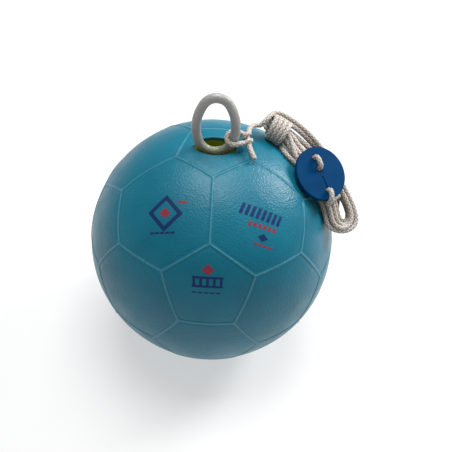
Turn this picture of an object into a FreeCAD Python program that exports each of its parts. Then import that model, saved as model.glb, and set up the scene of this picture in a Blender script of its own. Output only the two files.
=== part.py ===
"""Tetherball set: a hollow PVC ball with a ring let into its top, a long cord knotted to the
ring and wound into a hank on the ball's shoulder, and a flat disc that adjusts the cord.

Frame: origin on the ground under the ball, +Z up through the ring, the ring's flat side
faces -Y and the hank lies towards +X. Millimetres. Shapes are worked out from the ball's
centre and lifted by BALL_R when they are written.
"""
import FreeCAD, Part
import math
import os

from FreeCAD import Matrix, Vector

# --- ball ---------------------------------------------------------------------------------
BALL_R = 110.0            # outside radius of a size 5 ball
SKIN_T = 2.2              # wall of the blue skin
COLLAR_T = 3.1            # wall of the skin where it is thickened around the opening
COLLAR_W = 8.0            # how far the thick collar reaches past the opening
BLADDER_T = 0.7
FIT_GAP = 0.1             # between nested shells
OPENING_L = 33.6          # oval opening for the ring's foot, along X
OPENING_W = 22.6          # the same, along Y
OPENING_BACK = 0.9        # its middle lies this far behind the ring's
OPENING_LIP = 0.9         # rounding of the opening's outer edge

# --- anchor cup and pin -------------------------------------------------------------------
CUP_FLANGE_T = 1.8
CUP_FLANGE_W = 14.0       # flange past the opening, glued under the collar
CUP_WALL = 2.0
CUP_FLOOR = 3.0
PIN_R = 2.0
PIN_BELOW_TOP = 17.5      # pin axis under the top of the ball
PIN_PLAY = 0.05           # radial play of the pin in the ring's lug
CAVITY_DEPTH = 26.0       # from the top of the ball to the cup's floor
EAR_R = 4.5
EAR_T = 4.0
LUG_W = 14.0              # width of the ring's lug, along X
LUG_T = 7.0
LUG_SIDE_PLAY = 0.5

# --- ring ---------------------------------------------------------------------------------
RING_ROD_R = 3.8          # radius of the round rod that the ring is made of
RING_FOOT_ARC = 14.0      # centreline radius of the foot
RING_HEAD_ARC = 11.0      # centreline radius of the head
RING_SIDE_ARC = 42.0      # centreline radius of the two long sides
RING_FOOT_Z = 118.4       # centre of the foot arc, above the ball's centre
RING_HEAD_Z = 143.5       # centre of the head arc

# --- inflation valve, in the middle of the rear hexagon -----------------------------------
VALVE_POLAR = 79.19       # degrees from the top of the ball, towards +Y
VALVE_STEM_R = 4.0
VALVE_HEAD_R = 6.0
VALVE_HEAD_T = 0.8
VALVE_RECESS = 0.3        # its face lies this far under the ball's surface
VALVE_LEN = 15.0
NEEDLE_R = 1.1
SEAL_LEN = 7.0
SEAL_R = 2.6
SEAL_END = 1.5            # wall between the seal and the inner end
SEAL_SLIT = 0.3

# --- cord ---------------------------------------------------------------------------------
CORD_R = 2.0
LOOP_R = 6.7              # centreline radius of the turn around the ring
LOOP_TILT = 25.0          # degrees, lower in front
LOOP_Z = 118.4
KNOT_AT = Vector(25.7, 4.2, 115.2)
KNOT_SIZE = (4.7, 4.7, 5.6)
TAIL_ROUTE = [Vector(25.7, 0.7, 112.6), Vector(26.8, -4.2, 110.7),
              Vector(28.8, -8.0, 109.4), Vector(31.4, -11.6, 107.8)]

# The hank is part of a ring round an axis through the ball's centre, which rises towards the
# front. Places on it are (distance from the axis, degrees up from +X, distance along the axis).
HANK_AXIS_RISE = 47.3
HANK_FROM = 4.7           # degrees at the hank's lower end
HANK_TO = 67.0            # degrees at its upper end
HANK_PROFILE = [(102.6, 42.2), (117.5, 35.5), (127.2, 35.5), (127.3, 52.5),
                (112.0, 58.5), (99.0, 61.5), (94.2, 58.6)]
HANK_BACK_R = 110.9       # the side towards the ball follows the ball
LEAD_START = Vector(25.8, 8.6, 116.8)
LEAD_ROUTE = [(93.8, 73.4, 69.6), (97.8, 73.6, 59.6), (102.4, 72.6, 52.2),
              (105.9, 70.6, 48.3), (108.0, 68.7, 46.2), (109.0, HANK_TO, 45.0)]
END_KNOT_AT = (111.0, 13.0, 33.4)
END_KNOT_R = 4.4

# --- cord disc ----------------------------------------------------------------------------
DISC_R = 23.0
DISC_T = 4.0
DISC_EDGE = 0.8
DISC_AT = (105.2, 33.3, 68.2)   # centre of its front face, in the hank's measures
DISC_LEAN = 25.0                # degrees between its face's normal and the hank's axis
DISC_TWIST = 9.6                # degrees between its row of holes and the hank
HOLE_A = 14.0                   # places of the holes along the disc's row
HOLE_B = 4.2
HOLE_C = -15.4
HOLE_R = 2.8
SLIT_W = 0.8
SLIT_END = -2.4
STITCH_RISE = 2.4               # cord's centreline over the face
STITCH_BACK = -5.4              # where the cord's legs end behind the disc
RIM_OUT = -25.8                 # the cord goes over the rim and ends beside the hank
RIM_DOWN = Vector(-27.2, 0.0, -5.0)

X_AXIS = Vector(1, 0, 0)
Z_AXIS = Vector(0, 0, 1)
ORIGIN = Vector(0, 0, 0)


def rad(degrees):
    return math.radians(degrees)


def ball(radius):
    return Part.makeSphere(radius)


def oval(grow, z_low, z_high):
    """Upright prism with the opening's outline, grown on all sides."""
    middle = Vector(0, OPENING_BACK, z_low)
    outline = Part.Ellipse(middle, OPENING_L / 2 + grow, OPENING_W / 2 + grow)
    return Part.Face(Part.Wire(outline.toShape())).extrude(Vector(0, 0, z_high - z_low))


def frame_matrix(x_dir, y_dir, z_dir, at):
    """The placement matrix of a local frame given by its three directions and its origin."""
    return Matrix(x_dir.x, y_dir.x, z_dir.x, at.x,
                  x_dir.y, y_dir.y, z_dir.y, at.y,
                  x_dir.z, y_dir.z, z_dir.z, at.z,
                  0, 0, 0, 1)


def placed(shape, matrix):
    moved = shape.copy()
    moved.Placement = FreeCAD.Placement(matrix)
    return moved


HANK_AXIS = Vector(0, -math.cos(rad(HANK_AXIS_RISE)), math.sin(rad(HANK_AXIS_RISE)))
HANK_UP = Vector(0, math.sin(rad(HANK_AXIS_RISE)), math.cos(rad(HANK_AXIS_RISE)))


def hank_out(angle):
    """Direction away from the hank's axis at an angle."""
    return X_AXIS * math.cos(rad(angle)) + HANK_UP * math.sin(rad(angle))


def hank_point(out, angle, along):
    return hank_out(angle) * out + HANK_AXIS * along


def rounded_route(points):
    """Straight runs joined by tangent arcs. Returns the wire, its arc radii and its length."""
    edges = []
    radii = []
    here = points[0]
    for before, corner, after in zip(points, points[1:], points[2:]):
        run_in = (corner - before).Length
        run_out = (after - corner).Length
        dir_in = (corner - before).normalize()
        dir_out = (after - corner).normalize()
        turn = dir_in.getAngle(dir_out)
        radius = 0.45 * min(run_in, run_out) / math.tan(turn / 2)
        cut = radius * math.tan(turn / 2)
        start = corner - dir_in * cut
        end = corner + dir_out * cut
        to_centre = (dir_out - dir_in).normalize()
        middle = corner + to_centre * (radius / math.cos(turn / 2) - radius)
        edges.append(Part.LineSegment(here, start).toShape())
        edges.append(Part.Arc(start, middle, end).toShape())
        radii.append(radius)
        here = end
    edges.append(Part.LineSegment(here, points[-1]).toShape())
    wire = Part.Wire(edges)
    return wire, radii, wire.Length


def cord_tube(name, points):
    """Round cord along a route, with its radii and volume printed for a look."""
    wire, radii, length = rounded_route(points)
    first = (points[1] - points[0]).normalize()
    section = Part.Wire(Part.makeCircle(CORD_R, points[0], first))
    solid = wire.makePipeShell([section], True, False)
    share = solid.Volume / (math.pi * CORD_R ** 2 * length)
    print(name, "radii", [round(r, 1) for r in radii], "length", round(length, 1),
          "volume share", round(share, 3))
    return solid


def ellipsoid(centre, half_sizes):
    scale = Matrix()
    scale.scale(Vector(*half_sizes))
    solid = ball(1.0).transformGeometry(scale)
    solid.translate(centre)
    return solid


# --- ball pieces --------------------------------------------------------------------------
def valve_frame():
    """Local frame at the middle of the valve's face, +Z out of the ball."""
    out = Vector(0, math.sin(rad(VALVE_POLAR)), math.cos(rad(VALVE_POLAR)))
    return frame_matrix(X_AXIS, out.cross(X_AXIS), out, out * (BALL_R - VALVE_RECESS))


def upright(radius, low, high):
    return Part.makeCylinder(radius, high - low, Vector(0, 0, low))


def valve_hole():
    """Cutter for the stem, and for the head's seat at the ball's surface."""
    stem = upright(VALVE_STEM_R, -2 * VALVE_LEN, 5.0)
    seat = upright(VALVE_HEAD_R, -VALVE_HEAD_T, 5.0)
    return placed(stem.fuse(seat), valve_frame())


def ball_skin():
    skin = ball(BALL_R).cut(ball(BALL_R - SKIN_T))
    pad = ball(BALL_R - SKIN_T / 2).cut(ball(BALL_R - COLLAR_T))
    pad = pad.common(oval(COLLAR_W, 60.0, BALL_R + 5))
    skin = skin.fuse(pad).cut(oval(0.0, 60.0, BALL_R + 5))
    skin = skin.cut(valve_hole()).removeSplitter()
    lip = [edge for edge in skin.Edges
           if edge.BoundBox.ZMin > BALL_R - 2.0 and on_ball(edge, BALL_R)]
    return skin.makeFillet(OPENING_LIP, lip)


def on_ball(edge, radius):
    """Whether an edge lies on a ball of that radius and round the opening."""
    points = edge.discretize(5)
    spread = max(abs(p.Length - radius) for p in points)
    reach = max(math.hypot(p.x, p.y) for p in points)
    return spread < 0.01 and reach < OPENING_L


def bladder():
    outer = BALL_R - SKIN_T - FIT_GAP
    shell = ball(outer).cut(ball(outer - BLADDER_T))
    shell = shell.cut(oval(COLLAR_W + 0.3, 60.0, BALL_R))
    return shell.cut(valve_hole())


def anchor_cup():
    top = BALL_R - COLLAR_T - FIT_GAP
    floor_z = BALL_R - CAVITY_DEPTH
    flange = ball(top).cut(ball(top - CUP_FLANGE_T))
    flange = flange.common(oval(CUP_FLANGE_W, 60.0, BALL_R))
    wall = oval(CUP_WALL, floor_z - CUP_FLOOR, BALL_R).common(ball(top))
    cup = flange.fuse(wall).cut(oval(0.0, floor_z, BALL_R + 5))
    pin_z = BALL_R - PIN_BELOW_TOP
    inner = LUG_W / 2 + LUG_SIDE_PLAY
    for side in (-1, 1):
        low_x = inner if side > 0 else -inner - EAR_T
        ear = Part.makeCylinder(EAR_R, EAR_T, Vector(low_x, 0, pin_z), X_AXIS)
        foot = Part.makeBox(EAR_T, 2 * EAR_R, pin_z - floor_z + 1.0,
                            Vector(low_x, -EAR_R, floor_z - 1.0))
        cup = cup.fuse(ear).fuse(foot)
    half_pin = inner + EAR_T
    bore = Part.makeCylinder(PIN_R, 2 * half_pin, Vector(-half_pin, 0, pin_z), X_AXIS)
    return cup.cut(bore).removeSplitter()


def anchor_pin():
    half = LUG_W / 2 + LUG_SIDE_PLAY + EAR_T
    pin = Part.makeCylinder(PIN_R, 2 * half, Vector(-half, 0, BALL_R - PIN_BELOW_TOP), X_AXIS)
    return pin.makeChamfer(0.4, [e for e in pin.Edges if abs(e.BoundBox.XLength) < 0.01])


def valve_housing():
    stem = upright(VALVE_STEM_R, -VALVE_LEN, 0)
    head = upright(VALVE_HEAD_R, -VALVE_HEAD_T, 0)
    body = stem.fuse(head).cut(upright(NEEDLE_R, -VALVE_LEN - 1, 1))
    return placed(body.cut(seal_space()), valve_frame())


def seal_space():
    return upright(SEAL_R, SEAL_END - VALVE_LEN, SEAL_END - VALVE_LEN + SEAL_LEN)


def valve_seal():
    """Self-closing rubber plug inside the housing, with a slit that the needle opens."""
    slit = Part.makeBox(SEAL_SLIT, 2 * NEEDLE_R, VALVE_LEN,
                        Vector(-SEAL_SLIT / 2, -NEEDLE_R, -VALVE_LEN))
    return placed(seal_space().cut(slit), valve_frame())


# --- ring ---------------------------------------------------------------------------------
def ring_outline():
    """The egg-shaped centreline, four tangent arcs in the XZ plane."""
    to_foot = RING_SIDE_ARC - RING_FOOT_ARC
    to_head = RING_SIDE_ARC - RING_HEAD_ARC
    rise = RING_HEAD_Z - RING_FOOT_Z
    side_z = RING_FOOT_Z + (rise ** 2 + to_foot ** 2 - to_head ** 2) / (2 * rise)
    side_x = math.sqrt(to_foot ** 2 - (side_z - RING_FOOT_Z) ** 2)
    foot = Vector(0, 0, RING_FOOT_Z)
    head = Vector(0, 0, RING_HEAD_Z)
    edges = []
    for side in (1, -1):
        centre = Vector(-side * side_x, 0, side_z)
        low = foot + (foot - centre).normalize() * RING_FOOT_ARC
        high = head + (head - centre).normalize() * RING_HEAD_ARC
        middle = centre + Vector(side * RING_SIDE_ARC, 0, 0)
        edges.append(Part.Arc(low, middle, high).toShape())
    right, left = edges
    low_right, low_left = right.Vertexes[0].Point, left.Vertexes[0].Point
    high_right, high_left = right.Vertexes[1].Point, left.Vertexes[1].Point
    bottom = foot - Z_AXIS * RING_FOOT_ARC
    crown = head + Z_AXIS * RING_HEAD_ARC
    edges.append(Part.Arc(low_left, bottom, low_right).toShape())
    edges.append(Part.Arc(high_right, crown, high_left).toShape())
    return Part.Wire(Part.__sortEdges__(edges)), bottom


def ring():
    outline, bottom = ring_outline()
    start = outline.Edges[0]
    at = start.valueAt(start.FirstParameter)
    along = start.tangentAt(start.FirstParameter)
    rod = outline.makePipeShell([Part.Wire(Part.makeCircle(RING_ROD_R, at, along))], True, False)
    pin_z = BALL_R - PIN_BELOW_TOP
    eye_r = LUG_T / 2
    lug = Part.makeCylinder(eye_r, LUG_W, Vector(-LUG_W / 2, 0, pin_z), X_AXIS)
    web = Part.makeBox(LUG_W, LUG_T - 1.0, bottom.z - pin_z,
                       Vector(-LUG_W / 2, -LUG_T / 2 + 0.5, pin_z))
    bore = Part.makeCylinder(PIN_R + PIN_PLAY, LUG_W + 2, Vector(-LUG_W / 2 - 1, 0, pin_z), X_AXIS)
    return rod.fuse(lug.fuse(web)).cut(bore).removeSplitter()


# --- cord on the ring ---------------------------------------------------------------------
def limb_centre(height):
    """Middle of the ring's right-hand side at a height near its foot arc."""
    to_foot = RING_SIDE_ARC - RING_FOOT_ARC
    to_head = RING_SIDE_ARC - RING_HEAD_ARC
    rise = RING_HEAD_Z - RING_FOOT_Z
    side_z = RING_FOOT_Z + (rise ** 2 + to_foot ** 2 - to_head ** 2) / (2 * rise)
    side_x = math.sqrt(to_foot ** 2 - (side_z - RING_FOOT_Z) ** 2)
    return Vector(math.sqrt(RING_SIDE_ARC ** 2 - (height - side_z) ** 2) - side_x, 0, height)


def rope_ring_loop():
    normal = Vector(0, -math.sin(rad(LOOP_TILT)), math.cos(rad(LOOP_TILT)))
    return Part.makeTorus(LOOP_R, CORD_R, limb_centre(LOOP_Z), normal)


def rope_knot():
    return ellipsoid(KNOT_AT, KNOT_SIZE)


def rope_tail():
    return cord_tube("rope_tail", TAIL_ROUTE).cut(rope_knot())


def rope_lead():
    route = [LEAD_START] + [hank_point(*place) for place in LEAD_ROUTE]
    return cord_tube("rope_lead", route).cut(rope_knot()).cut(rope_hank())


# --- hank ---------------------------------------------------------------------------------
def rope_hank():
    """Outer shape of the wound cord: its profile turned about the hank's axis."""
    corners = [Vector(out, 0, along) for out, along in HANK_PROFILE]
    edges = [Part.makeLine(a, b) for a, b in zip(corners, corners[1:])]
    first, last = corners[0], corners[-1]
    back_mid = (first + last).normalize() * HANK_BACK_R
    edges.append(Part.Arc(last, back_mid, first).toShape())
    face = Part.Face(Part.Wire(edges))
    solid = face.revolve(ORIGIN, Z_AXIS, HANK_TO - HANK_FROM)
    solid.rotate(ORIGIN, Z_AXIS, HANK_FROM)
    return placed(solid, frame_matrix(X_AXIS, HANK_UP, HANK_AXIS, ORIGIN).multiply(
        solid.Placement.toMatrix()))


def rope_end_knot():
    return ellipsoid(hank_point(*END_KNOT_AT), (END_KNOT_R,) * 3).cut(rope_hank())


# --- disc ---------------------------------------------------------------------------------
def disc_frame():
    """Local frame of the disc: +X along its row of holes, +Z out of its front face."""
    out = hank_out(DISC_AT[1])
    up_hank = HANK_AXIS.cross(out)
    normal = HANK_AXIS * math.cos(rad(DISC_LEAN)) + out * math.sin(rad(DISC_LEAN))
    across = out * math.cos(rad(DISC_LEAN)) - HANK_AXIS * math.sin(rad(DISC_LEAN))
    row = up_hank * math.cos(rad(DISC_TWIST)) + across * math.sin(rad(DISC_TWIST))
    return frame_matrix(row, normal.cross(row), normal, hank_point(*DISC_AT))


def cord_disc():
    disc = Part.makeCylinder(DISC_R, DISC_T, Vector(0, 0, -DISC_T))
    rims = [e for e in disc.Edges if e.Length > 6 * DISC_R]
    disc = disc.makeFillet(DISC_EDGE, rims)
    for place in (HOLE_A, HOLE_B, HOLE_C):
        disc = disc.cut(Part.makeCylinder(HOLE_R, DISC_T + 2, Vector(place, 0, -DISC_T - 1)))
    slit = Part.makeBox(SLIT_END - HOLE_C, SLIT_W, DISC_T + 2,
                        Vector(HOLE_C, -SLIT_W / 2, -DISC_T - 1))
    return placed(disc.cut(slit), disc_frame())


def rope_stitch():
    frame = disc_frame()
    local = [Vector(HOLE_A, 0, STITCH_BACK), Vector(HOLE_A, 0, STITCH_RISE),
             Vector(HOLE_B, 0, STITCH_RISE), Vector(HOLE_B, 0, STITCH_BACK)]
    return cord_tube("rope_stitch", [frame.multVec(p) for p in local])


def rope_rim_bend():
    frame = disc_frame()
    local = [Vector(HOLE_C, 0, STITCH_BACK), Vector(HOLE_C, 0, STITCH_RISE),
             Vector(RIM_OUT, 0, STITCH_RISE), RIM_DOWN]
    return cord_tube("rope_rim_bend", [frame.multVec(p) for p in local])


PIECES = [ball_skin, bladder, anchor_cup, anchor_pin, valve_housing, valve_seal, ring,
          rope_ring_loop, rope_knot, rope_tail, rope_lead, rope_hank, rope_end_knot,
          cord_disc, rope_stitch, rope_rim_bend]

os.makedirs("parts", exist_ok=True)
for make in PIECES:
    piece = make()
    piece.translate(Vector(0, 0, BALL_R))
    print(make.__name__, piece.ShapeType, len(piece.Solids), piece.isValid(),
          round(piece.Volume / 1000, 2), "cm3")
    piece.exportStep("parts/" + make.__name__ + ".step")
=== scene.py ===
"""Looks of the tetherball set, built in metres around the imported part.

The ball stands on the floor under its ring. Shapes are worked out in millimetres from the ball's
centre and put in place by from_centre(). The hank lies along part of a ring round an axis through
the ball's centre, so its points are (distance from that axis, degrees up from +X, distance along it).
"""
import math
import random

import bmesh
import bpy
import numpy as np
from mathutils import Matrix, Vector


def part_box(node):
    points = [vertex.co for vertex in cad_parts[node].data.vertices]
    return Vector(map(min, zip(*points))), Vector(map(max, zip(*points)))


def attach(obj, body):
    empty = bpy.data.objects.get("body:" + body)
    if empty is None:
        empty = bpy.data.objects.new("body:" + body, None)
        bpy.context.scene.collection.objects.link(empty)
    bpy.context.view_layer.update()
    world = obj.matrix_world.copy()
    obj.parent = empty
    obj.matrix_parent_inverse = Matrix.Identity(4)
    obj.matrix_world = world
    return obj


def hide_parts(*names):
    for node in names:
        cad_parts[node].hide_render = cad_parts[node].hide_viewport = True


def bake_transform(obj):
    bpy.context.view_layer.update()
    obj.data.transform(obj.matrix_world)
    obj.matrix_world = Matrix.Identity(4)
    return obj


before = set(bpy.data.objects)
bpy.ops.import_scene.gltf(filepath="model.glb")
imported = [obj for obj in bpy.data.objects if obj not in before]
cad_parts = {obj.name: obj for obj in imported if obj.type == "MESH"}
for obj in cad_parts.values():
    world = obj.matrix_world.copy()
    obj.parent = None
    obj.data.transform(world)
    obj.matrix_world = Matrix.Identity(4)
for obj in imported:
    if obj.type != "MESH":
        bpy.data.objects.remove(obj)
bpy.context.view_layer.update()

# --- sizes, in millimetres ----------------------------------------------------------------
MM = 0.001
skin_low, skin_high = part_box("ball_skin")
BALL_R = (skin_high.x - skin_low.x) / 2 / MM
CENTRE = Vector((0.0, 0.0, skin_low.z + BALL_R * MM))

SKIN_T = 2.2
COLLAR_T = 3.1
OPENING_L = 33.6          # an oval
OPENING_W = 22.6
OPENING_BACK = 0.9        # its middle lies this far behind the ring's
OPENING_LIP = 0.9
SEAM_HALF_W = 1.15
SEAM_RISE = 0.45
SEAM_GROOVE = 0.14        # depth of the shallow dip beside the ridge
SEAM_GROOVE_W = 2.2
PRINT_RISE = 0.05         # ink film over the skin

VALVE_POLAR = 79.19
VALVE_SEAT_R = 6.1
VALVE_SEAT_DEPTH = 1.1
VALVE_STEM_R = 4.05

CORD_D = 4.0
PLAIT_PITCH = 15.0        # one strand goes once round the cord in this length
PLAIT_STEP = 0.5          # distance between the rings of the cord's skin
CORD_CORNERS = 24         # points in one ring
PLAIT_MID_R = 1.32        # mean distance of a strand's middle from the cord's centreline
PLAIT_WAVE = 0.30         # how far a strand moves in and out as it passes under and over
PLAIT_GROOVE_R = 1.15     # bottom of the grooves between strands
STRAND_W = 0.88           # half its width
STRAND_T = 0.60           # half its thickness

HANK_AXIS_RISE = 47.3
DISC_AT = (105.2, 33.3, 68.2)
DISC_LEAN = 25.0
DISC_TWIST = 9.6

X_AXIS = Vector((1, 0, 0))
HANK_AXIS = Vector((0, -math.cos(math.radians(HANK_AXIS_RISE)), math.sin(math.radians(HANK_AXIS_RISE))))
HANK_UP = Vector((0, math.sin(math.radians(HANK_AXIS_RISE)), math.cos(math.radians(HANK_AXIS_RISE))))


# --- places -------------------------------------------------------------------------------
def from_centre(point):
    """A point given in millimetres from the ball's centre, as a place in the row frame."""
    return CENTRE + Vector(point) * MM


def direction(polar, azimuth):
    """Unit vector at an angle from the top of the ball and an angle round from +X, in degrees."""
    p, a = math.radians(polar), math.radians(azimuth)
    return Vector((math.sin(p) * math.cos(a), math.sin(p) * math.sin(a), math.cos(p)))


def hank_out(angle):
    return X_AXIS * math.cos(math.radians(angle)) + HANK_UP * math.sin(math.radians(angle))


def hank_point(out, angle, along):
    return hank_out(angle) * out + HANK_AXIS * along


def disc_axes():
    """The disc's row of holes, the direction across it, its normal and its face's centre."""
    out = hank_out(DISC_AT[1])
    up_hank = HANK_AXIS.cross(out)
    lean, twist = math.radians(DISC_LEAN), math.radians(DISC_TWIST)
    normal = HANK_AXIS * math.cos(lean) + out * math.sin(lean)
    across = out * math.cos(lean) - HANK_AXIS * math.sin(lean)
    row = up_hank * math.cos(twist) + across * math.sin(twist)
    return row, normal.cross(row), normal, hank_point(*DISC_AT)


def disc_point(along_row, sideways, height):
    row, side, normal, middle = disc_axes()
    return middle + row * along_row + side * sideways + normal * height


# --- materials ----------------------------------------------------------------------------
class Finish:
    """A material in the making: its nodes are added and joined by the methods below."""

    def __init__(self, name, **values):
        self.material = bpy.data.materials.new(name)
        self.material.use_nodes = True
        self.nodes = self.material.node_tree.nodes
        self.links = self.material.node_tree.links
        self.shader = self.nodes["Principled BSDF"]
        for socket, value in values.items():
            self.shader.inputs[socket.replace("_", " ")].default_value = value
        self.place = self.add("ShaderNodeTexCoord").outputs["Object"]

    def add(self, kind, **settings):
        node = self.nodes.new(kind)
        for key, value in settings.items():
            setattr(node, key, value)
        return node

    def feed(self, node, socket, source):
        self.links.new(source, node.inputs[socket])

    def noise(self, scale, detail=3.0, roughness=0.55, stretch=None):
        node = self.add("ShaderNodeTexNoise")
        node.inputs["Scale"].default_value = scale
        node.inputs["Detail"].default_value = detail
        node.inputs["Roughness"].default_value = roughness
        self.feed(node, "Vector", self.stretched(stretch) if stretch else self.place)
        return node.outputs["Fac"]

    def cells(self, scale):
        node = self.add("ShaderNodeTexVoronoi", feature="SMOOTH_F1")
        node.inputs["Scale"].default_value = scale
        self.feed(node, "Vector", self.place)
        return node.outputs["Distance"]

    def stretched(self, factors):
        node = self.add("ShaderNodeMapping")
        node.inputs["Scale"].default_value = factors
        self.feed(node, "Vector", self.place)
        return node.outputs["Vector"]

    def ramp(self, source, stops):
        node = self.add("ShaderNodeValToRGB")
        steps = node.color_ramp.elements
        while len(steps) < len(stops):
            steps.new(0.5)
        for step, (at, colour) in zip(steps, stops):
            step.position = at
            step.color = (*colour, 1.0)
        self.feed(node, "Fac", source)
        return node.outputs["Color"]

    def levels(self, source, low, high, to_low, to_high):
        node = self.add("ShaderNodeMapRange")
        for socket, value in zip(("From Min", "From Max", "To Min", "To Max"), (low, high, to_low, to_high)):
            node.inputs[socket].default_value = value
        self.feed(node, "Value", source)
        return node.outputs["Result"]

    def mixed(self, share, first, second):
        """Two colours mixed by a share from 0 to 1; each is a socket or a plain colour."""
        node = self.add("ShaderNodeMix", data_type="RGBA")
        self.feed(node, 0, share)
        for index, colour in ((6, first), (7, second)):
            if isinstance(colour, tuple):
                node.inputs[index].default_value = (*colour, 1.0)
            else:
                self.links.new(colour, node.inputs[index])
        return node.outputs[2]

    def bump(self, heights):
        """Bumps from (height, distance in metres) pairs, each on top of the one before."""
        below = None
        for height, distance in heights:
            node = self.add("ShaderNodeBump")
            node.inputs["Strength"].default_value = 1.0
            node.inputs["Distance"].default_value = distance
            self.feed(node, "Height", height)
            if below:
                self.feed(node, "Normal", below)
            below = node.outputs["Normal"]
        self.feed(self.shader, "Normal", below)

    def height_share(self, low, high):
        """0 at one height above the floor and 1 at another."""
        node = self.add("ShaderNodeSeparateXYZ")
        self.feed(node, "Vector", self.place)
        return self.levels(node.outputs["Z"], low, high, 0.0, 1.0)


def ball_finish():
    f = Finish("ball_pvc", IOR=1.5, Specular_IOR_Level=0.28)
    cloud = f.ramp(f.noise(22, 4), [(0.30, (0.002, 0.119, 0.184)), (0.70, (0.004, 0.150, 0.223))])
    speck = f.levels(f.noise(900, 2), 0.60, 0.78, 0.0, 0.30)
    dusty = f.mixed(speck, cloud, (0.028, 0.20, 0.27))
    # Painted highlight: the colour is lighter along the raised seam ridges, standing in for the light they
    # catch.
    seam = f.add("ShaderNodeAttribute", attribute_name="seam").outputs["Fac"]
    edge = f.levels(seam, 0.20, 1.0, 0.0, 0.30)
    f.feed(f.shader, "Base Color", f.mixed(edge, dusty, (0.15, 0.36, 0.43)))
    f.feed(f.shader, "Roughness", f.levels(f.noise(60, 5), 0.3, 0.7, 0.30, 0.44))
    f.bump([(f.noise(34, 3), 0.0006), (f.cells(760), 0.00021), (f.noise(1500, 2), 0.00007)])
    return f.material


def cup_finish():
    f = Finish("cup_pvc", IOR=1.48)
    lime = f.ramp(f.noise(90, 4), [(0.3, (0.19, 0.25, 0.004)), (0.7, (0.27, 0.34, 0.010))])
    f.feed(f.shader, "Base Color", lime)
    f.feed(f.shader, "Roughness", f.levels(f.noise(300, 3), 0.3, 0.7, 0.38, 0.55))
    f.bump([(f.noise(400, 3), 0.00012)])
    return f.material


def ring_finish():
    """Milky PVC that lets some light through, with painted light low down: the lowest part, which stands in
    the well, is tinted dark olive in place of the well's yellow-green light shining through it.
    """
    f = Finish("ring_pvc", IOR=1.46, Transmission_Weight=0.06, Subsurface_Weight=1.0, Subsurface_Scale=0.010)
    f.shader.inputs["Subsurface Radius"].default_value = (1.0, 1.0, 0.9)
    milk = f.ramp(f.noise(70, 4), [(0.3, (0.28, 0.28, 0.28)), (0.7, (0.35, 0.345, 0.34))])
    # Painted light: low down the ring is tinted dark olive, standing in for the yellow-green light of the
    # well shining through it.
    well_light_share = f.height_share(CENTRE.z + 0.100, CENTRE.z + 0.121)
    f.feed(f.shader, "Base Color", f.mixed(well_light_share, (0.22, 0.24, 0.12), milk))
    f.feed(f.shader, "Roughness", f.levels(f.noise(160, 4), 0.3, 0.7, 0.26, 0.42))
    scuffs = f.noise(700, 2, stretch=(1.0, 1.0, 0.12))
    f.bump([(f.noise(130, 3), 0.00014), (scuffs, 0.00004)])
    return f.material


def disc_finish():
    f = Finish("disc_plastic", IOR=1.5, Specular_IOR_Level=0.03)
    dye = f.ramp(f.noise(60, 5), [(0.30, (0.0005, 0.031, 0.098)), (0.70, (0.001, 0.043, 0.130))])
    chalk = f.levels(f.noise(1100, 3), 0.60, 0.80, 0.0, 0.30)
    f.feed(f.shader, "Base Color", f.mixed(chalk, dye, (0.006, 0.072, 0.18)))
    f.feed(f.shader, "Roughness", f.levels(f.noise(240, 4), 0.3, 0.7, 0.48, 0.66))
    scratches = f.noise(420, 3, stretch=(1.0, 0.09, 1.0))
    f.bump([(f.noise(900, 3), 0.00009), (scratches, 0.00007)])
    return f.material


def cord_finish():
    """White fibre, with painted shade: darker and warmer down in the grooves of the plait."""
    f = Finish("cord", Roughness=0.55, IOR=1.5, Sheen_Weight=0.2, Sheen_Roughness=0.4)
    fibre = f.ramp(f.noise(38, 4), [(0.25, (0.51, 0.44, 0.36)), (0.50, (0.60, 0.54, 0.47)),
                                    (0.75, (0.70, 0.65, 0.60))])
    hair = f.levels(f.noise(2600, 2), 0.35, 0.65, 0.0, 0.30)
    frayed = f.mixed(hair, fibre, (0.44, 0.40, 0.36))
    crest = f.add("ShaderNodeAttribute", attribute_name="crest").outputs["Fac"]
    raised = f.levels(crest, 0.40, 0.95, 0.0, 1.0)
    # Painted shade: the grooves between the strands get a dark brown colour where shade falls.
    f.feed(f.shader, "Base Color", f.mixed(raised, (0.15, 0.13, 0.125), frayed))
    f.bump([(f.noise(3200, 2), 0.00012)])
    return f.material


def rubber_finish(name, dark, light):
    f = Finish(name, IOR=1.5)
    f.feed(f.shader, "Base Color", f.ramp(f.noise(150, 4), [(0.3, dark), (0.7, light)]))
    f.feed(f.shader, "Roughness", f.levels(f.noise(500, 3), 0.3, 0.7, 0.45, 0.65))
    f.bump([(f.noise(900, 3), 0.00008)])
    return f.material


def steel_finish():
    f = Finish("pin_steel", Metallic=1.0)
    grey = f.ramp(f.noise(200, 3), [(0.3, (0.45, 0.45, 0.44)), (0.7, (0.58, 0.57, 0.55))])
    f.feed(f.shader, "Base Color", grey)
    f.feed(f.shader, "Roughness", f.levels(f.noise(900, 2, stretch=(0.05, 1, 1)), 0.3, 0.7, 0.28, 0.42))
    f.bump([(f.noise(900, 2, stretch=(0.05, 1, 1)), 0.00002)])
    return f.material


def ink_finish(name, ink, worn):
    """Printed ink, thin in places where the skin's grain shows through."""
    f = Finish(name, IOR=1.5, Specular_IOR_Level=0.2)
    thin = f.levels(f.noise(1300, 3), 0.52, 0.75, 0.0, 0.75)
    f.feed(f.shader, "Base Color", f.mixed(thin, ink, worn))
    f.feed(f.shader, "Roughness", f.levels(f.noise(200, 3), 0.3, 0.7, 0.34, 0.5))
    f.bump([(f.cells(620), 0.00012)])
    return f.material


def floor_finish():
    f = Finish("floor_paint", Roughness=0.8, Emission_Color=(1.0, 1.0, 1.0, 1.0), Emission_Strength=0.52)
    pale = f.ramp(f.noise(6, 3), [(0.3, (0.42, 0.42, 0.42)), (0.7, (0.45, 0.45, 0.45))])
    f.feed(f.shader, "Base Color", pale)
    f.bump([(f.noise(90, 3), 0.0002)])
    return f.material


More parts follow.
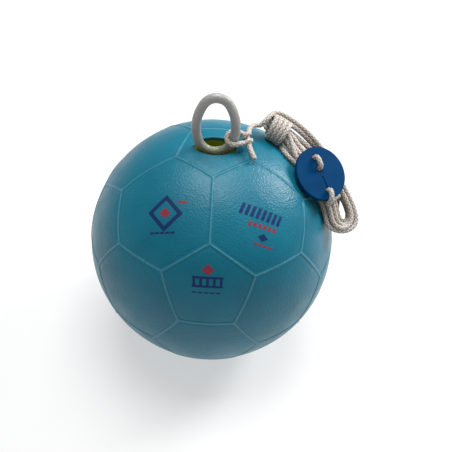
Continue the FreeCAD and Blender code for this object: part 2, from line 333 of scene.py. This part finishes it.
BALL_PVC = ball_finish()
CORD_FIBRE = cord_finish()
NAVY_INK = ink_finish("ink_navy", (0.006, 0.024, 0.105), (0.008, 0.062, 0.15))
RED_INK = ink_finish("ink_red", (0.23, 0.028, 0.048), (0.12, 0.060, 0.10))

for node, finish in {
    "bladder": rubber_finish("inner_pvc", (0.02, 0.02, 0.02), (0.045, 0.045, 0.045)),
    "anchor_cup": cup_finish(),
    "anchor_pin": steel_finish(),
    "valve_housing": rubber_finish("valve_rubber", (0.30, 0.30, 0.29), (0.42, 0.42, 0.40)),
    "valve_seal": rubber_finish("seal_rubber", (0.03, 0.03, 0.03), (0.06, 0.06, 0.06)),
    "ring": ring_finish(),
    "cord_disc": disc_finish(),
}.items():
    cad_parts[node].data.materials.clear()
    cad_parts[node].data.materials.append(finish)


# --- meshes -------------------------------------------------------------------------------
def mesh_piece(name, points, faces, material):
    """A smooth-shaded mesh from points in metres."""
    mesh = bpy.data.meshes.new(name)
    mesh.from_pydata([tuple(p) for p in points], [], [tuple(face) for face in faces])
    mesh.validate()
    mesh.shade_smooth()
    mesh.materials.append(material)
    piece = bpy.data.objects.new(name, mesh)
    bpy.context.scene.collection.objects.link(piece)
    return piece


def welded(piece, gap):
    """Joins a piece's points that lie on each other, and turns its faces outwards."""
    work = bmesh.new()
    work.from_mesh(piece.data)
    bmesh.ops.remove_doubles(work, verts=work.verts, dist=gap)
    bmesh.ops.recalc_face_normals(work, faces=work.faces)
    work.to_mesh(piece.data)
    work.free()
    piece.data.shade_smooth()
    return piece


# --- ball skin: panels between raised seams -------------------------------------------------
SEAM_TURN = -0.9          # degrees round from +X
SEAM_CORNERS = [(17.2, 0.0), (44.6, 0.0), (59.4, -22.4), (59.4, 22.4), (80.1, -11.8), (80.1, 11.8)]
EDGE_STEPS = 14
SEAM_STEPS = [0.0, 0.3, 0.6, 0.9, 1.2, 1.5, 1.9, 2.4, 3.0, 3.8]     # millimetres from the seam
PANEL_STEPS = [0.08, 0.18, 0.30, 0.44, 0.58, 0.72, 0.86, 1.0]       # shares of the way left to the middle
SKIN_IN_R = BALL_R - SKIN_T
COLLAR_IN_R = BALL_R - COLLAR_T


def seam_corners():
    """The sixty corners where three seams meet. The lower half is the upper half turned over."""
    upper = [direction(polar, -90 + 72 * k + off + SEAM_TURN)
             for polar, off in SEAM_CORNERS for k in range(5)]
    return [np.array(p) for p in upper] + [-np.array(p) for p in upper]


def panels(corners):
    """Each panel as the numbers of its corners, in order round it."""
    near = []
    for here in corners:
        closest = sorted(range(len(corners)), key=lambda k: -float(here @ corners[k]))[1:4]
        start = corners[closest[0]] - here
        side = np.cross(here, start)
        near.append(sorted(closest, key=lambda k: math.atan2(side @ (corners[k] - here),
                                                             start @ (corners[k] - here))))
    found = set()
    for first in range(len(corners)):
        for second in near[first]:
            loop = [first, second]
            while True:
                ways = near[loop[-1]]
                after = ways[(ways.index(loop[-2]) + 1) % 3]
                if after == first:
                    break
                loop.append(after)
            lowest = loop.index(min(loop))
            found.add(tuple(loop[lowest:] + loop[:lowest]))
    return sorted(found)


def arc_points(a, b, count):
    """Unit vectors along the great circle from a towards b, without b."""
    angle = math.acos(float(np.clip(a @ b, -1, 1)))
    shares = np.arange(count)[:, None] / count
    return (np.sin((1 - shares) * angle) * a + np.sin(shares * angle) * b) / math.sin(angle)


def seam_height(points, corners):
    """How far the skin stands out at these points of one panel, and how much of a seam each is."""
    distance = np.full(points.shape[:-1], 1e9)
    for a, b in zip(corners, np.roll(corners, -1, axis=0)):
        across = np.cross(a, b)
        across /= np.linalg.norm(across)
        distance = np.minimum(distance, np.abs(points @ across) * BALL_R)
    ridge = np.where(distance < SEAM_HALF_W, 0.5 + 0.5 * np.cos(math.pi * distance / SEAM_HALF_W), 0.0)
    beside = np.clip((distance - SEAM_HALF_W) / SEAM_GROOVE_W, 0, 1)
    dip = np.where(distance > SEAM_HALF_W * 0.8, np.sin(math.pi * beside), 0.0)
    return SEAM_RISE * ridge - SEAM_GROOVE * dip, ridge


def oval_outline(angles, offset):
    """Points of the opening's outline, seen from its middle at these angles."""
    a, b = OPENING_L / 2 + offset, OPENING_W / 2 + offset
    reach = a * b / np.hypot(b * np.cos(angles), a * np.sin(angles))
    return np.stack([np.cos(angles), np.sin(angles)], axis=-1) * reach[:, None]


def round_outline(radius):
    return lambda angles, offset: np.stack([np.cos(angles), np.sin(angles)], axis=-1) * (radius + offset)


def lip_steps(lip, deep_r):
    """(offset from the hole's side, depth under the ball's surface) down a rounded edge and wall."""
    turns = [math.radians(18 * k) for k in range(6)]
    steps = [(lip * (1 - math.sin(t)), lip * (1 - math.cos(t))) for t in turns]
    return steps + [(0.0, BALL_R - deep_r)]


class Hole:
    """A hole through the skin: the way it faces, its middle in the plane across that way, its outline,
    and steps (offset from the outline, depth under the ball's surface) down its side."""

    def __init__(self, facing, middle, outline, steps):
        self.facing = np.array(facing)
        self.middle = np.array(middle)
        self.outline = outline
        self.steps = steps


def across_axes(facing):
    """Two directions across the way a panel faces; the first has no part along Y."""
    right = np.cross((0.0, 1.0, 0.0), facing) if abs(facing[1]) < 0.9 else np.array((1.0, 0.0, 0.0))
    right = right - facing * (right @ facing)
    right /= np.linalg.norm(right)
    return right, np.cross(facing, right)


def panel_grid(corners, hole):
    """Rows of points from a panel's seams to its middle, or over the edge and down its hole."""
    corners = np.array(corners)
    facing = hole.facing if hole else corners.sum(axis=0) / np.linalg.norm(corners.sum(axis=0))
    right, up = across_axes(facing)
    edge = np.concatenate([arc_points(a, b, EDGE_STEPS)
                           for a, b in zip(corners, np.roll(corners, -1, axis=0))])
    flat = np.stack([edge @ right, edge @ up], axis=-1) * BALL_R
    middle = hole.middle if hole else np.zeros(2)
    angles = np.arctan2(*(flat - middle).T[::-1])

    def hole_at(offset):
        return middle + hole.outline(angles, offset) if hole else np.zeros_like(flat)

    def lifted(plane, radius):
        height = np.sqrt(radius ** 2 - (plane ** 2).sum(axis=-1))
        return plane[:, :1] * right + plane[:, 1:] * up + height[:, None] * facing

    inner = hole_at(hole.steps[0][0] if hole else 0.0)
    reach = np.linalg.norm(flat - inner, axis=1)[:, None]
    used = SEAM_STEPS[-1] / reach
    shares = [step / reach for step in SEAM_STEPS] + [used + (1 - used) * step for step in PANEL_STEPS]
    rows = []
    seams = []
    for share in shares:
        place = lifted(flat + (inner - flat) * share, BALL_R)
        unit = place / np.linalg.norm(place, axis=1)[:, None]
        rise, seam = seam_height(unit, corners)
        rows.append(unit * (BALL_R + rise)[:, None])
        seams.append(seam)
    for offset, depth in hole.steps[1:] if hole else []:
        rows.append(lifted(hole_at(offset), BALL_R - depth))
        seams.append(np.zeros(len(edge)))
    inside = []
    for share in (1.0, 0.75, 0.5, 0.25):
        plane = flat + (hole_at(0.0) - flat) * share
        thick = hole and hole.outline is oval_outline and share >= 0.75
        inside.append(lifted(plane, COLLAR_IN_R if thick else SKIN_IN_R))
    inside.append(edge * SKIN_IN_R)
    return rows, seams, inside


def faces_best(facing, all_panels, corners):
    """The number of the panel that faces a direction best."""
    return max(range(len(all_panels)), key=lambda k: np.mean([corners[c] @ facing for c in all_panels[k]]))


def ball_skin():
    """The skin as one closed mesh: outside with its raised seams, both holes, and inside."""
    corners = seam_corners()
    all_panels = panels(corners)
    opening = Hole((0.0, 0.0, 1.0), (0.0, OPENING_BACK), oval_outline, lip_steps(OPENING_LIP, COLLAR_IN_R))
    narrow = VALVE_STEM_R - VALVE_SEAT_R
    valve = Hole(direction(VALVE_POLAR, 90), (0.0, 0.0), round_outline(VALVE_SEAT_R),
                 [(0.0, 0.0), (0.0, VALVE_SEAT_DEPTH), (narrow, VALVE_SEAT_DEPTH), (narrow, SKIN_T)])
    holes = {faces_best(hole.facing, all_panels, corners): hole for hole in (opening, valve)}
    points, seams, faces = [], [], []

    def add_rows(rows, values):
        first = len(points)
        wide = len(rows[0])
        for row, value in zip(rows, values):
            points.extend(row)
            seams.extend(value)
        for r in range(len(rows) - 1):
            for c in range(wide):
                after = (c + 1) % wide
                base = first + r * wide
                faces.append((base + c, base + after, base + wide + after, base + wide + c))

    for number, panel in enumerate(all_panels):
        hole = holes.get(number)
        rows, values, inside = panel_grid([corners[c] for c in panel], hole)
        blank = [np.zeros(len(rows[0]))] * len(inside)
        if hole:
            add_rows(rows + inside, values + blank)
        else:
            add_rows(rows, values)
            add_rows(inside, blank)
    piece = mesh_piece("skin", [from_centre(p) for p in points], faces, BALL_PVC)
    # The seam share, which the ball's material uses to paint a highlight along the seams.
    marks = piece.data.attributes.new("seam", "FLOAT", "POINT")
    marks.data.foreach_set("value", np.array(seams, np.float32))
    welded(piece, 1e-6)
    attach(piece, "ball")
    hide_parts("ball_skin")


ball_skin()


# --- printed marks ------------------------------------------------------------------------
class Mark:
    """A place on the ball for a print: its middle, and the directions right and up there."""

    def __init__(self, polar, azimuth, turn=0.0):
        self.middle = direction(polar, azimuth)
        level = Vector((0, 0, 1)).cross(self.middle).normalized()
        upright = self.middle.cross(level)
        t = math.radians(turn)
        self.right = level * math.cos(t) + upright * math.sin(t)
        self.up = upright * math.cos(t) - level * math.sin(t)

    def point(self, x, y, rise):
        way = self.middle * BALL_R + self.right * x + self.up * y
        return from_centre(way.normalized() * (BALL_R + rise))


def bar(x, y, width, height, slant=0.0):
    """The lower and upper edge of a bar around (x, y)."""
    steps = max(3, int(width / 1.5))
    places = [x + width * (k / steps - 0.5) for k in range(steps + 1)]
    low = [(p - slant / 2, y - height / 2) for p in places]
    high = [(p + slant / 2, y + height / 2) for p in places]
    return low, high


def diamond(width, height):
    """The lower and upper edge of a four-sided shape that stands on a corner."""
    places = [k / 10 * 0.98 for k in range(-10, 11)]
    low = [(width / 2 * p, -height / 2 * (1 - abs(p))) for p in places]
    high = [(width / 2 * p, height / 2 * (1 - abs(p))) for p in places]
    return low, high


def diamond_frame(reach, width):
    """The inner and outer edge of a frame with four sides that stands on a corner."""
    outer = []
    for k in range(33):
        side, share = divmod(k / 8, 1)
        corner = Vector((math.sin(math.pi / 2 * side), math.cos(math.pi / 2 * side)))
        after = Vector((math.sin(math.pi / 2 * (side + 1)), math.cos(math.pi / 2 * (side + 1))))
        outer.append(corner.lerp(after, share) * reach)
    return [tuple(p * (1 - width / reach)) for p in outer], [tuple(p) for p in outer]


def printed(name, mark, bands, ink):
    """A thin film of ink on the ball, closed all round, from bands between two edges."""
    rows = 6
    points, faces = [], []
    for low, high in bands:
        wide = len(low)
        first = len(points)
        for rise in (PRINT_RISE, -0.3):
            for r in range(rows + 1):
                for (x0, y0), (x1, y1) in zip(low, high):
                    share = r / rows
                    points.append(mark.point(x0 + (x1 - x0) * share, y0 + (y1 - y0) * share, rise))
        under = first + (rows + 1) * wide

        def quads(start, flip):
            for r in range(rows):
                for c in range(wide - 1):
                    a = start + r * wide + c
                    face = (a, a + 1, a + wide + 1, a + wide)
                    faces.append(face[::-1] if flip else face)

        quads(first, False)
        quads(under, True)
        rim = ([(0, c) for c in range(wide)] + [(r, wide - 1) for r in range(1, rows + 1)]
               + [(rows, c) for c in range(wide - 2, -1, -1)] + [(r, 0) for r in range(rows - 1, 0, -1)])
        for (r0, c0), (r1, c1) in zip(rim, rim[1:] + rim[:1]):
            a, b = r0 * wide + c0, r1 * wide + c1
            faces.append((first + b, first + a, under + a, under + b))
    piece = welded(mesh_piece(name, points, faces, ink), 1e-6)
    piece.data.shade_flat()
    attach(piece, "ball")


def bar_row(count, pitch, y, width, height, slant):
    return [bar((k - (count - 1) / 2) * pitch, y, width, height, slant) for k in range(count)]


left_mark = Mark(37.2, -123.0, 25.0)
printed("print_left_frame", left_mark, [diamond_frame(14.5, 4.4)], NAVY_INK)
printed("print_left_diamond", left_mark, [diamond(9.0, 9.0), bar(13.5, 9.0, 8.0, 1.8)], RED_INK)
printed("print_left_line", Mark(44.8, -119.1, 25.0), bar_row(5, 4.2, 0, 3.4, 1.5, 0.4), NAVY_INK)
printed("print_right_stripes", Mark(36.6, -55.2, -42.0), bar_row(8, 4.6, 0, 2.7, 9.0, 1.4), NAVY_INK)
printed("print_right_dashes", Mark(41.3, -58.0, -37.0), bar_row(6, 4.2, 0, 2.6, 3.6, 0.8), RED_INK)
printed("print_right_diamond", Mark(45.45, -60.0, -36.0), [diamond(9.0, 6.0)], NAVY_INK)
printed("print_right_line", Mark(48.5, -61.4, -36.0), bar_row(4, 4.4, 0, 3.4, 1.6, 0.4), RED_INK)
printed("print_front_diamond", Mark(55.0, -91.1), [diamond(10.0, 9.0)], RED_INK)
printed("print_front_bars", Mark(60.1, -91.0), [bar(0, 3.6, 24.0, 1.8), bar(0, -3.6, 24.0, 1.8)]
        + bar_row(5, 5.2, 0, 2.0, 5.6, 0.0), NAVY_INK)
printed("print_front_line", Mark(64.7, -91.4), bar_row(5, 4.6, 0, 3.4, 1.2, 0.3), NAVY_INK)


# --- the cord's line ----------------------------------------------------------------------
def smooth_line(route):
    """Points along one smooth NURBS spline that has the route as its control points."""
    curve = bpy.data.curves.new("route", "CURVE")
    curve.dimensions = "3D"
    spline = curve.splines.new("NURBS")
    spline.points.add(len(route) - 1)
    for point, place in zip(spline.points, route):
        point.co = (*from_centre(place), 1.0)
    spline.order_u = 3
    spline.use_endpoint_u = True
    spline.resolution_u = 10
    holder = bpy.data.objects.new("route", curve)
    mesh = bpy.data.meshes.new_from_object(holder)
    line = np.array([v.co for v in mesh.vertices], float)
    bpy.data.objects.remove(holder)
    bpy.data.curves.remove(curve)
    bpy.data.meshes.remove(mesh)
    return line


def even_points(line, step):
    """The same line with points a step apart."""
    along = np.concatenate([[0.0], np.cumsum(np.linalg.norm(np.diff(line, axis=0), axis=1))])
    places = np.linspace(0.0, along[-1], int(along[-1] / step) + 1)
    return np.stack([np.interp(places, along, line[:, k]) for k in range(3)], axis=1), places


def travelling_frames(points):
    """For each point of a line, two directions across it that turn as little as possible."""
    ahead = np.gradient(points, axis=0)
    ahead /= np.linalg.norm(ahead, axis=1)[:, None]
    side = np.cross(ahead[0], (0.0, 0.0, 1.0))
    sides = []
    for way in ahead:
        side = side - way * (side @ way)
        side = side / np.linalg.norm(side)
        sides.append(side)
    sides = np.array(sides)
    return sides, np.cross(ahead, sides)


def ring_faces(count, corners):
    """Faces between neighbouring rings of points, with both ends closed."""
    faces = []
    for ring in range(count - 1):
        base = ring * corners
        for k in range(corners):
            after = (k + 1) % corners
            faces.append((base + k, base + after, base + corners + after, base + corners + k))
    faces.append(tuple(reversed(range(corners))))
    faces.append(tuple((count - 1) * corners + k for k in range(corners)))
    return faces


def plait_radius(turning, around):
    """Distance of the cord's skin from its centreline, in millimetres: the highest of eight strands.

    Four strands turn each way. They pass over and under each other, so one family is out
    where the other is in.
    """
    highest = np.full(np.broadcast(turning, around).shape, PLAIT_GROOVE_R)
    for way in (1, -1):
        crest = PLAIT_MID_R + way * PLAIT_WAVE * np.cos(4 * turning)
        for strand in range(4):
            off = around - way * turning - strand * math.pi / 2
            off = (off + math.pi) % (2 * math.pi) - math.pi
            round_top = np.clip(1 - (off * PLAIT_MID_R / STRAND_W) ** 2, 0, None)
            highest = np.maximum(highest, crest + STRAND_T * np.sqrt(round_top) * (round_top > 0))
    return highest


def plaited_cord(name, route):
    """A cord whose skin is a plait of eight strands. Returns the piece and its centreline."""
    points, places = even_points(smooth_line(route), PLAIT_STEP * MM)
    side, up = travelling_frames(points)
    turning = (2 * math.pi * places / (PLAIT_PITCH * MM))[:, None]
    around = (np.arange(CORD_CORNERS) * 2 * math.pi / CORD_CORNERS)[None, :]
    radius = plait_radius(turning, around)
    crest = (radius - PLAIT_GROOVE_R) / (PLAIT_MID_R + PLAIT_WAVE + STRAND_T - PLAIT_GROOVE_R)
    radius[[0, -1]] *= 0.6
    radius *= MM
    rings = (points[:, None, :] + side[:, None, :] * (radius * np.cos(around))[:, :, None]
             + up[:, None, :] * (radius * np.sin(around))[:, :, None])
    piece = mesh_piece(name, rings.reshape(-1, 3), ring_faces(len(points), CORD_CORNERS), CORD_FIBRE)
    # The crest share, which the cord's material uses to paint shade down in the grooves.
    heights = piece.data.attributes.new("crest", "FLOAT", "POINT")
    heights.data.foreach_set("value", crest.astype(np.float32).ravel())
    return piece, points


# --- the cord's route, in millimetres from the ball's centre --------------------------------
RING_TURN_AT = Vector((14.8, 0.0, 118.4))
RING_TURN_R = 6.2
RING_TURN_TILT = 25.0
KNOT_AT = Vector((25.2, 3.0, 115.3))
KNOT_LEAN = Vector((-0.228, 0.821, 0.525))
KNOT_TURN_R = 2.9

NECK_AT = (106.6, 56.0)      # middle of the hank's upper end: distance from the axis and along it
NECK_TURN_R = 9.4
NECK_FROM = 120              # where on the first turn the cord comes in, in degrees
NECK_TOP = 66.0              # degrees along the hank
NECK_STEP = 1.95             # degrees from one turn round the neck to the next
NECK_TURNS = 5
NECK_PACK = 4.1              # distance between the runs that the neck holds together

# Where each run lies, as (distance from the axis, distance along it): going down beside the ball, at
# its lower end, coming up on the far side, and at its upper end.
RUNS_DOWN = [(93.6, 62.4), (96.6, 58.0), (97.4, 62.9), (100.6, 54.4), (102.0, 60.6), (104.2, 50.2),
             (106.4, 57.4), (108.4, 53.8)]
RUNS_LOW = [(97.8, 56.8), (100.1, 53.2), (102.0, 58.6), (101.8, 49.6), (105.9, 56.8), (103.8, 45.8),
            (109.2, 52.8)]
RUNS_UP = [(124.7, 50.3), (124.9, 46.2), (120.6, 51.5), (125.0, 42.1), (119.9, 47.4), (124.6, 38.0),
           (119.6, 42.6)]
WAIST_IN = 4.0               # how much nearer the axis the runs up are beside the disc's cord
WAIST = (27.0, 30.0)         # where that is, in degrees along the hank
RUNS_TOP = [(122.5, 50.5), (118.4, 51.0), (115.0, 46.0), (120.6, 46.8), (110.5, 43.2), (120.8, 42.5),
            (106.0, 42.5)]
UPPER_SAG = [0.0, 0.0, 1.5, 0.0, 1.5, 0.5, 1.0]            # how much nearer the axis between waist and top
LOW_ENDS = [5.6, 6.3, 7.0, 7.5, 8.3, 8.9, 9.8]             # degrees along the hank of each lower fold
HIGH_ENDS = [67.2, 66.6, 67.4, 66.0, 66.7, 65.6, 66.1]     # the same of each upper fold
FOLD_DEPTH = 10.0            # the most that a fold takes up along the hank


def ring_turn(angles):
    """Points round the ring's right-hand side, lower in front."""
    tilt = math.radians(RING_TURN_TILT)
    back = Vector((0, math.cos(tilt), math.sin(tilt)))
    return [RING_TURN_AT + (X_AXIS * math.cos(math.radians(a)) + back * math.sin(math.radians(a)))
            * RING_TURN_R for a in angles]


def knot_turn(angle, along):
    """A point on the turns that make the knot, round a line that leans back."""
    right = (X_AXIS - KNOT_LEAN * KNOT_LEAN.x).normalized()
    front = right.cross(KNOT_LEAN)
    a = math.radians(angle)
    return KNOT_AT + (right * math.cos(a) + front * math.sin(a)) * KNOT_TURN_R + KNOT_LEAN * along


def neck_turns():
    """The turns round the hank's neck that hold it together, no two quite alike."""
    points = []
    steps = 14
    for k in range(NECK_TURNS * steps - 2):
        turn = math.radians(NECK_FROM - 360 * k / steps)
        radius = NECK_TURN_R + 0.45 * math.sin(k * 0.45)
        lean = 0.8 * math.cos(turn + 0.25 * k / steps) + 3.5 * max(0.0, 1 - k / 5) ** 2
        points.append(clear_of_ball(hank_point(NECK_AT[0] + radius * math.cos(turn),
                                               NECK_TOP - NECK_STEP * k / steps + lean,
                                               NECK_AT[1] + radius * math.sin(turn))))
    return points


def in_neck(number):
    """Distance from the axis and along it of a run inside the neck: one in the middle, six round it."""
    if number == 4:
        return NECK_AT
    turn = math.radians({1: 60, 2: 120, 3: 0, 5: 300, 6: 180, 7: 240}[number])
    return NECK_AT[0] - NECK_PACK * math.cos(turn), NECK_AT[1] + NECK_PACK * math.sin(turn)


def clear_of_ball(point):
    least = BALL_R + CORD_D / 2 + 0.3
    return point if point.length > least else point.normalized() * least


def run(first, last, start, end, count, sway=(0.0, 0.0)):
    """Points along the hank from one place in its section to another, swaying as loose cord does."""
    points = []
    for k in range(count):
        share = k / (count - 1)
        wave = math.sqrt(max(math.sin(math.pi * share), 0.0))
        ease = share * share * (3 - 2 * share)
        out = first[0] + (last[0] - first[0]) * ease + sway[0] * wave
        along = first[1] + (last[1] - first[1]) * ease + sway[1] * wave
        points.append(clear_of_ball(hank_point(out, start + (end - start) * share, along)))
    return points


def fold_depth(first, last):
    """Degrees along the hank that a fold between two places takes."""
    reach = min(FOLD_DEPTH, math.dist(first, last) / 2)
    return math.degrees(reach / (first[0] + last[0]) * 2)


def fold(first, last, start, tip, count):
    """Half a turn at one end of the hank, from one run's place to the other's."""
    points = []
    for k in range(1, count + 1):
        turn = math.pi * k / (count + 1)
        share = (1 - math.cos(turn)) / 2
        out = first[0] + (last[0] - first[0]) * share
        along = first[1] + (last[1] - first[1]) * share
        points.append(hank_point(out, start + (tip - start) * math.sin(turn), along))
    return points


def hank_turns():
    """The hank: down beside the ball, round the lower fold, up on the far side and over the top."""
    chance = random.Random(11)
    points = []
    for number, place in enumerate(RUNS_DOWN):
        if number:
            points += run(in_neck(number), place, 58.0, 45.0, 6)
        if number == len(RUNS_UP):
            break
        low_place, up = RUNS_LOW[number], RUNS_UP[number]
        low = LOW_ENDS[number] + fold_depth(low_place, up)
        sway = (chance.uniform(-0.4, 0.6), chance.uniform(0.0, 0.9))
        points += run(place, low_place, 45.0 if number else 51.0, low, 7, sway)
        points += fold(low_place, up, low, LOW_ENDS[number], 6)
        waist = (up[0] - WAIST_IN, up[1])
        points += run(up, waist, low, WAIST[0], 5)
        top, neck = RUNS_TOP[number], in_neck(number + 1)
        high = HIGH_ENDS[number] - fold_depth(top, neck)
        sway = (chance.uniform(-0.5, 0.5) - UPPER_SAG[number], chance.uniform(0.0, 0.9))
        points += run(waist, top, WAIST[1], high, 6, sway)
        points += fold(top, neck, high, HIGH_ENDS[number], 4)
    return points


long_route = [
    Vector((31.4, -13.8, 108.9)),
    Vector((30.2, -11.0, 110.1)),
    Vector((28.4, -7.0, 111.5)),
    Vector((27.0, -2.9, 113.0)),
    Vector((26.0, 1.4, 115.0)),
    Vector((24.9, 5.2, 117.6)),
    *ring_turn((58, 95, 132, 169, 206, 243, 280, 312)),
    knot_turn(150, -3.2),
    knot_turn(100, -2.8),
    knot_turn(45, -2.2),
    knot_turn(-5, -1.4),
    knot_turn(-60, -0.6),
    knot_turn(-120, 0.4),
    knot_turn(-180, 1.4),
    knot_turn(-240, 2.4),
    knot_turn(-290, 3.4),
    knot_turn(-350, 4.4),
    Vector((26.0, 9.6, 117.4)),
    hank_point(96.6, 73.0, 73.5),
    hank_point(100.8, 71.3, 66.8),
    *neck_turns(),
    *hank_turns(),
    disc_point(19.0, 1.0, -11.5),
    disc_point(16.2, 0.5, -9.2),
]

# Through the disc's holes, over its rim, then between the runs of the hank to its far side.
disc_route = [
    disc_point(16.2, 0.5, -9.2),
    disc_point(14.6, 0.1, -6.6),
    disc_point(14.1, 0.0, -3.6),
    disc_point(14.0, 0.0, -0.4),
    disc_point(13.8, 0.0, 2.4),
    disc_point(12.0, 0.3, 4.3),
    disc_point(9.1, 0.5, 4.7),
    disc_point(6.2, 0.3, 4.3),
    disc_point(4.4, 0.0, 2.4),
    disc_point(4.2, 0.0, -0.4),
    disc_point(4.2, 0.0, -3.4),
    disc_point(3.4, 0.0, -5.6),
    disc_point(1.0, 0.1, -6.8),
    disc_point(-3.0, 0.3, -6.8),
    disc_point(-9.0, 0.3, -6.8),
    disc_point(-12.6, 0.1, -6.8),
    disc_point(-14.8, 0.0, -5.6),
    disc_point(-15.4, 0.0, -3.0),
    disc_point(-15.4, 0.0, -0.4),
    disc_point(-15.6, 0.2, 1.8),
    disc_point(-16.8, 0.8, 3.5),
    disc_point(-19.4, 1.6, 4.0),
    disc_point(-22.2, 2.5, 3.4),
    disc_point(-24.4, 3.1, 1.4),
    disc_point(-25.2, 3.4, -1.6),
    disc_point(-24.6, 3.3, -4.8),
    hank_point(102.5, 20.0, 64.6),
    hank_point(107.5, 20.6, 61.8),
    hank_point(111.9, 21.3, 57.6),
    hank_point(113.7, 21.3, 52.0),
    hank_point(113.9, 20.4, 45.4),
    hank_point(113.6, 18.2, 39.6),
    hank_point(112.8, 15.6, 35.6),
    hank_point(112.2, 13.2, 33.4),
]

long_cord, long_line = plaited_cord("rope_long", long_route)
disc_cord, disc_line = plaited_cord("rope_disc", disc_route)
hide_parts("rope_tail", "rope_ring_loop", "rope_knot", "rope_lead", "rope_hank")
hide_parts("rope_stitch", "rope_rim_bend")


def line_length(points):
    return float(np.linalg.norm(np.diff(points, axis=0), axis=1).sum())


print("cord lengths", round(line_length(long_line), 3), round(line_length(disc_line), 3))


# --- knot at the cord's end, and the cords' placements baked into their points --------------
def end_knot():
    """Stopper knot: three tight turns of the cord over its own end, with the end showing."""
    middle = hank_point(111.0, 13.0, 33.4)
    route = [hank_point(113.4, 13.2, 34.6)]
    for k in range(22):
        turn = math.radians(150 + 360 * k / 8)
        across = hank_out(13.0) * math.cos(turn) + HANK_AXIS * math.sin(turn)
        route.append(middle + across * 2.7 + HANK_AXIS.cross(hank_out(13.0)) * (3.0 - 6.0 * k / 21))
    route.append(middle - HANK_AXIS.cross(hank_out(13.0)) * 5.2)
    return plaited_cord("rope_end_knot_turns", route)[0]


stopper = end_knot()
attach(stopper, "ball")
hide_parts("rope_end_knot")

row, side, normal, middle = disc_axes()
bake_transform(long_cord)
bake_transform(disc_cord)


# --- floor, light and camera ----------------------------------------------------------------
def studio_floor():
    size = 3.0
    steps = 24
    points = []
    for j in range(steps + 1):
        for i in range(steps + 1):
            points.append((size * (2 * i / steps - 1), size * (2 * j / steps - 1), 0.0))
    faces = []
    for j in range(steps):
        for i in range(steps):
            a = j * (steps + 1) + i
            faces.append((a, a + 1, a + steps + 2, a + steps + 1))
    return mesh_piece("studio_floor", points, faces, floor_finish())


def lamp(name, place, watts, size, colour=(1.0, 1.0, 1.0)):
    """A soft square light that points at the ball."""
    light = bpy.data.lights.new(name, "AREA")
    light.energy = watts
    light.size = size
    light.color = colour
    holder = bpy.data.objects.new(name, light)
    holder.location = place
    holder.rotation_mode = "QUATERNION"
    holder.rotation_quaternion = (CENTRE - Vector(place)).to_track_quat("-Z", "Y")
    bpy.context.scene.collection.objects.link(holder)


CAMERA_DISTANCE = 0.550
CAMERA_ROLL = 2.3
LENS = 46.81
SHIFT = (0.0322, 0.029)


def camera():
    """Looks down along the hank's axis."""
    data = bpy.data.cameras.new("camera")
    data.sensor_width = 36.0
    data.lens = LENS
    data.shift_x, data.shift_y = SHIFT
    data.clip_start, data.clip_end = 0.01, 20.0
    holder = bpy.data.objects.new("camera", data)
    roll = math.radians(CAMERA_ROLL)
    right = X_AXIS * math.cos(roll) + HANK_UP * math.sin(roll)
    up = HANK_UP * math.cos(roll) - X_AXIS * math.sin(roll)
    turned = Matrix((right, up, HANK_AXIS)).transposed().to_4x4()
    holder.matrix_world = Matrix.Translation(CENTRE + HANK_AXIS * CAMERA_DISTANCE) @ turned
    bpy.context.scene.collection.objects.link(holder)
    bpy.context.scene.camera = holder


studio_floor()
lamp("key", (0.0, 0.25, 1.4), 19.0, 0.9)
lamp("window", (0.94, 0.53, 0.83), 14.0, 0.4)
camera()

world = bpy.data.worlds.new("studio")
world.use_nodes = True
world.node_tree.nodes["Background"].inputs["Color"].default_value = (1.0, 1.0, 1.0, 1.0)
world.node_tree.nodes["Background"].inputs["Strength"].default_value = 0.27
bpy.context.scene.world = world
bpy.context.scene.view_settings.view_transform = "Standard"
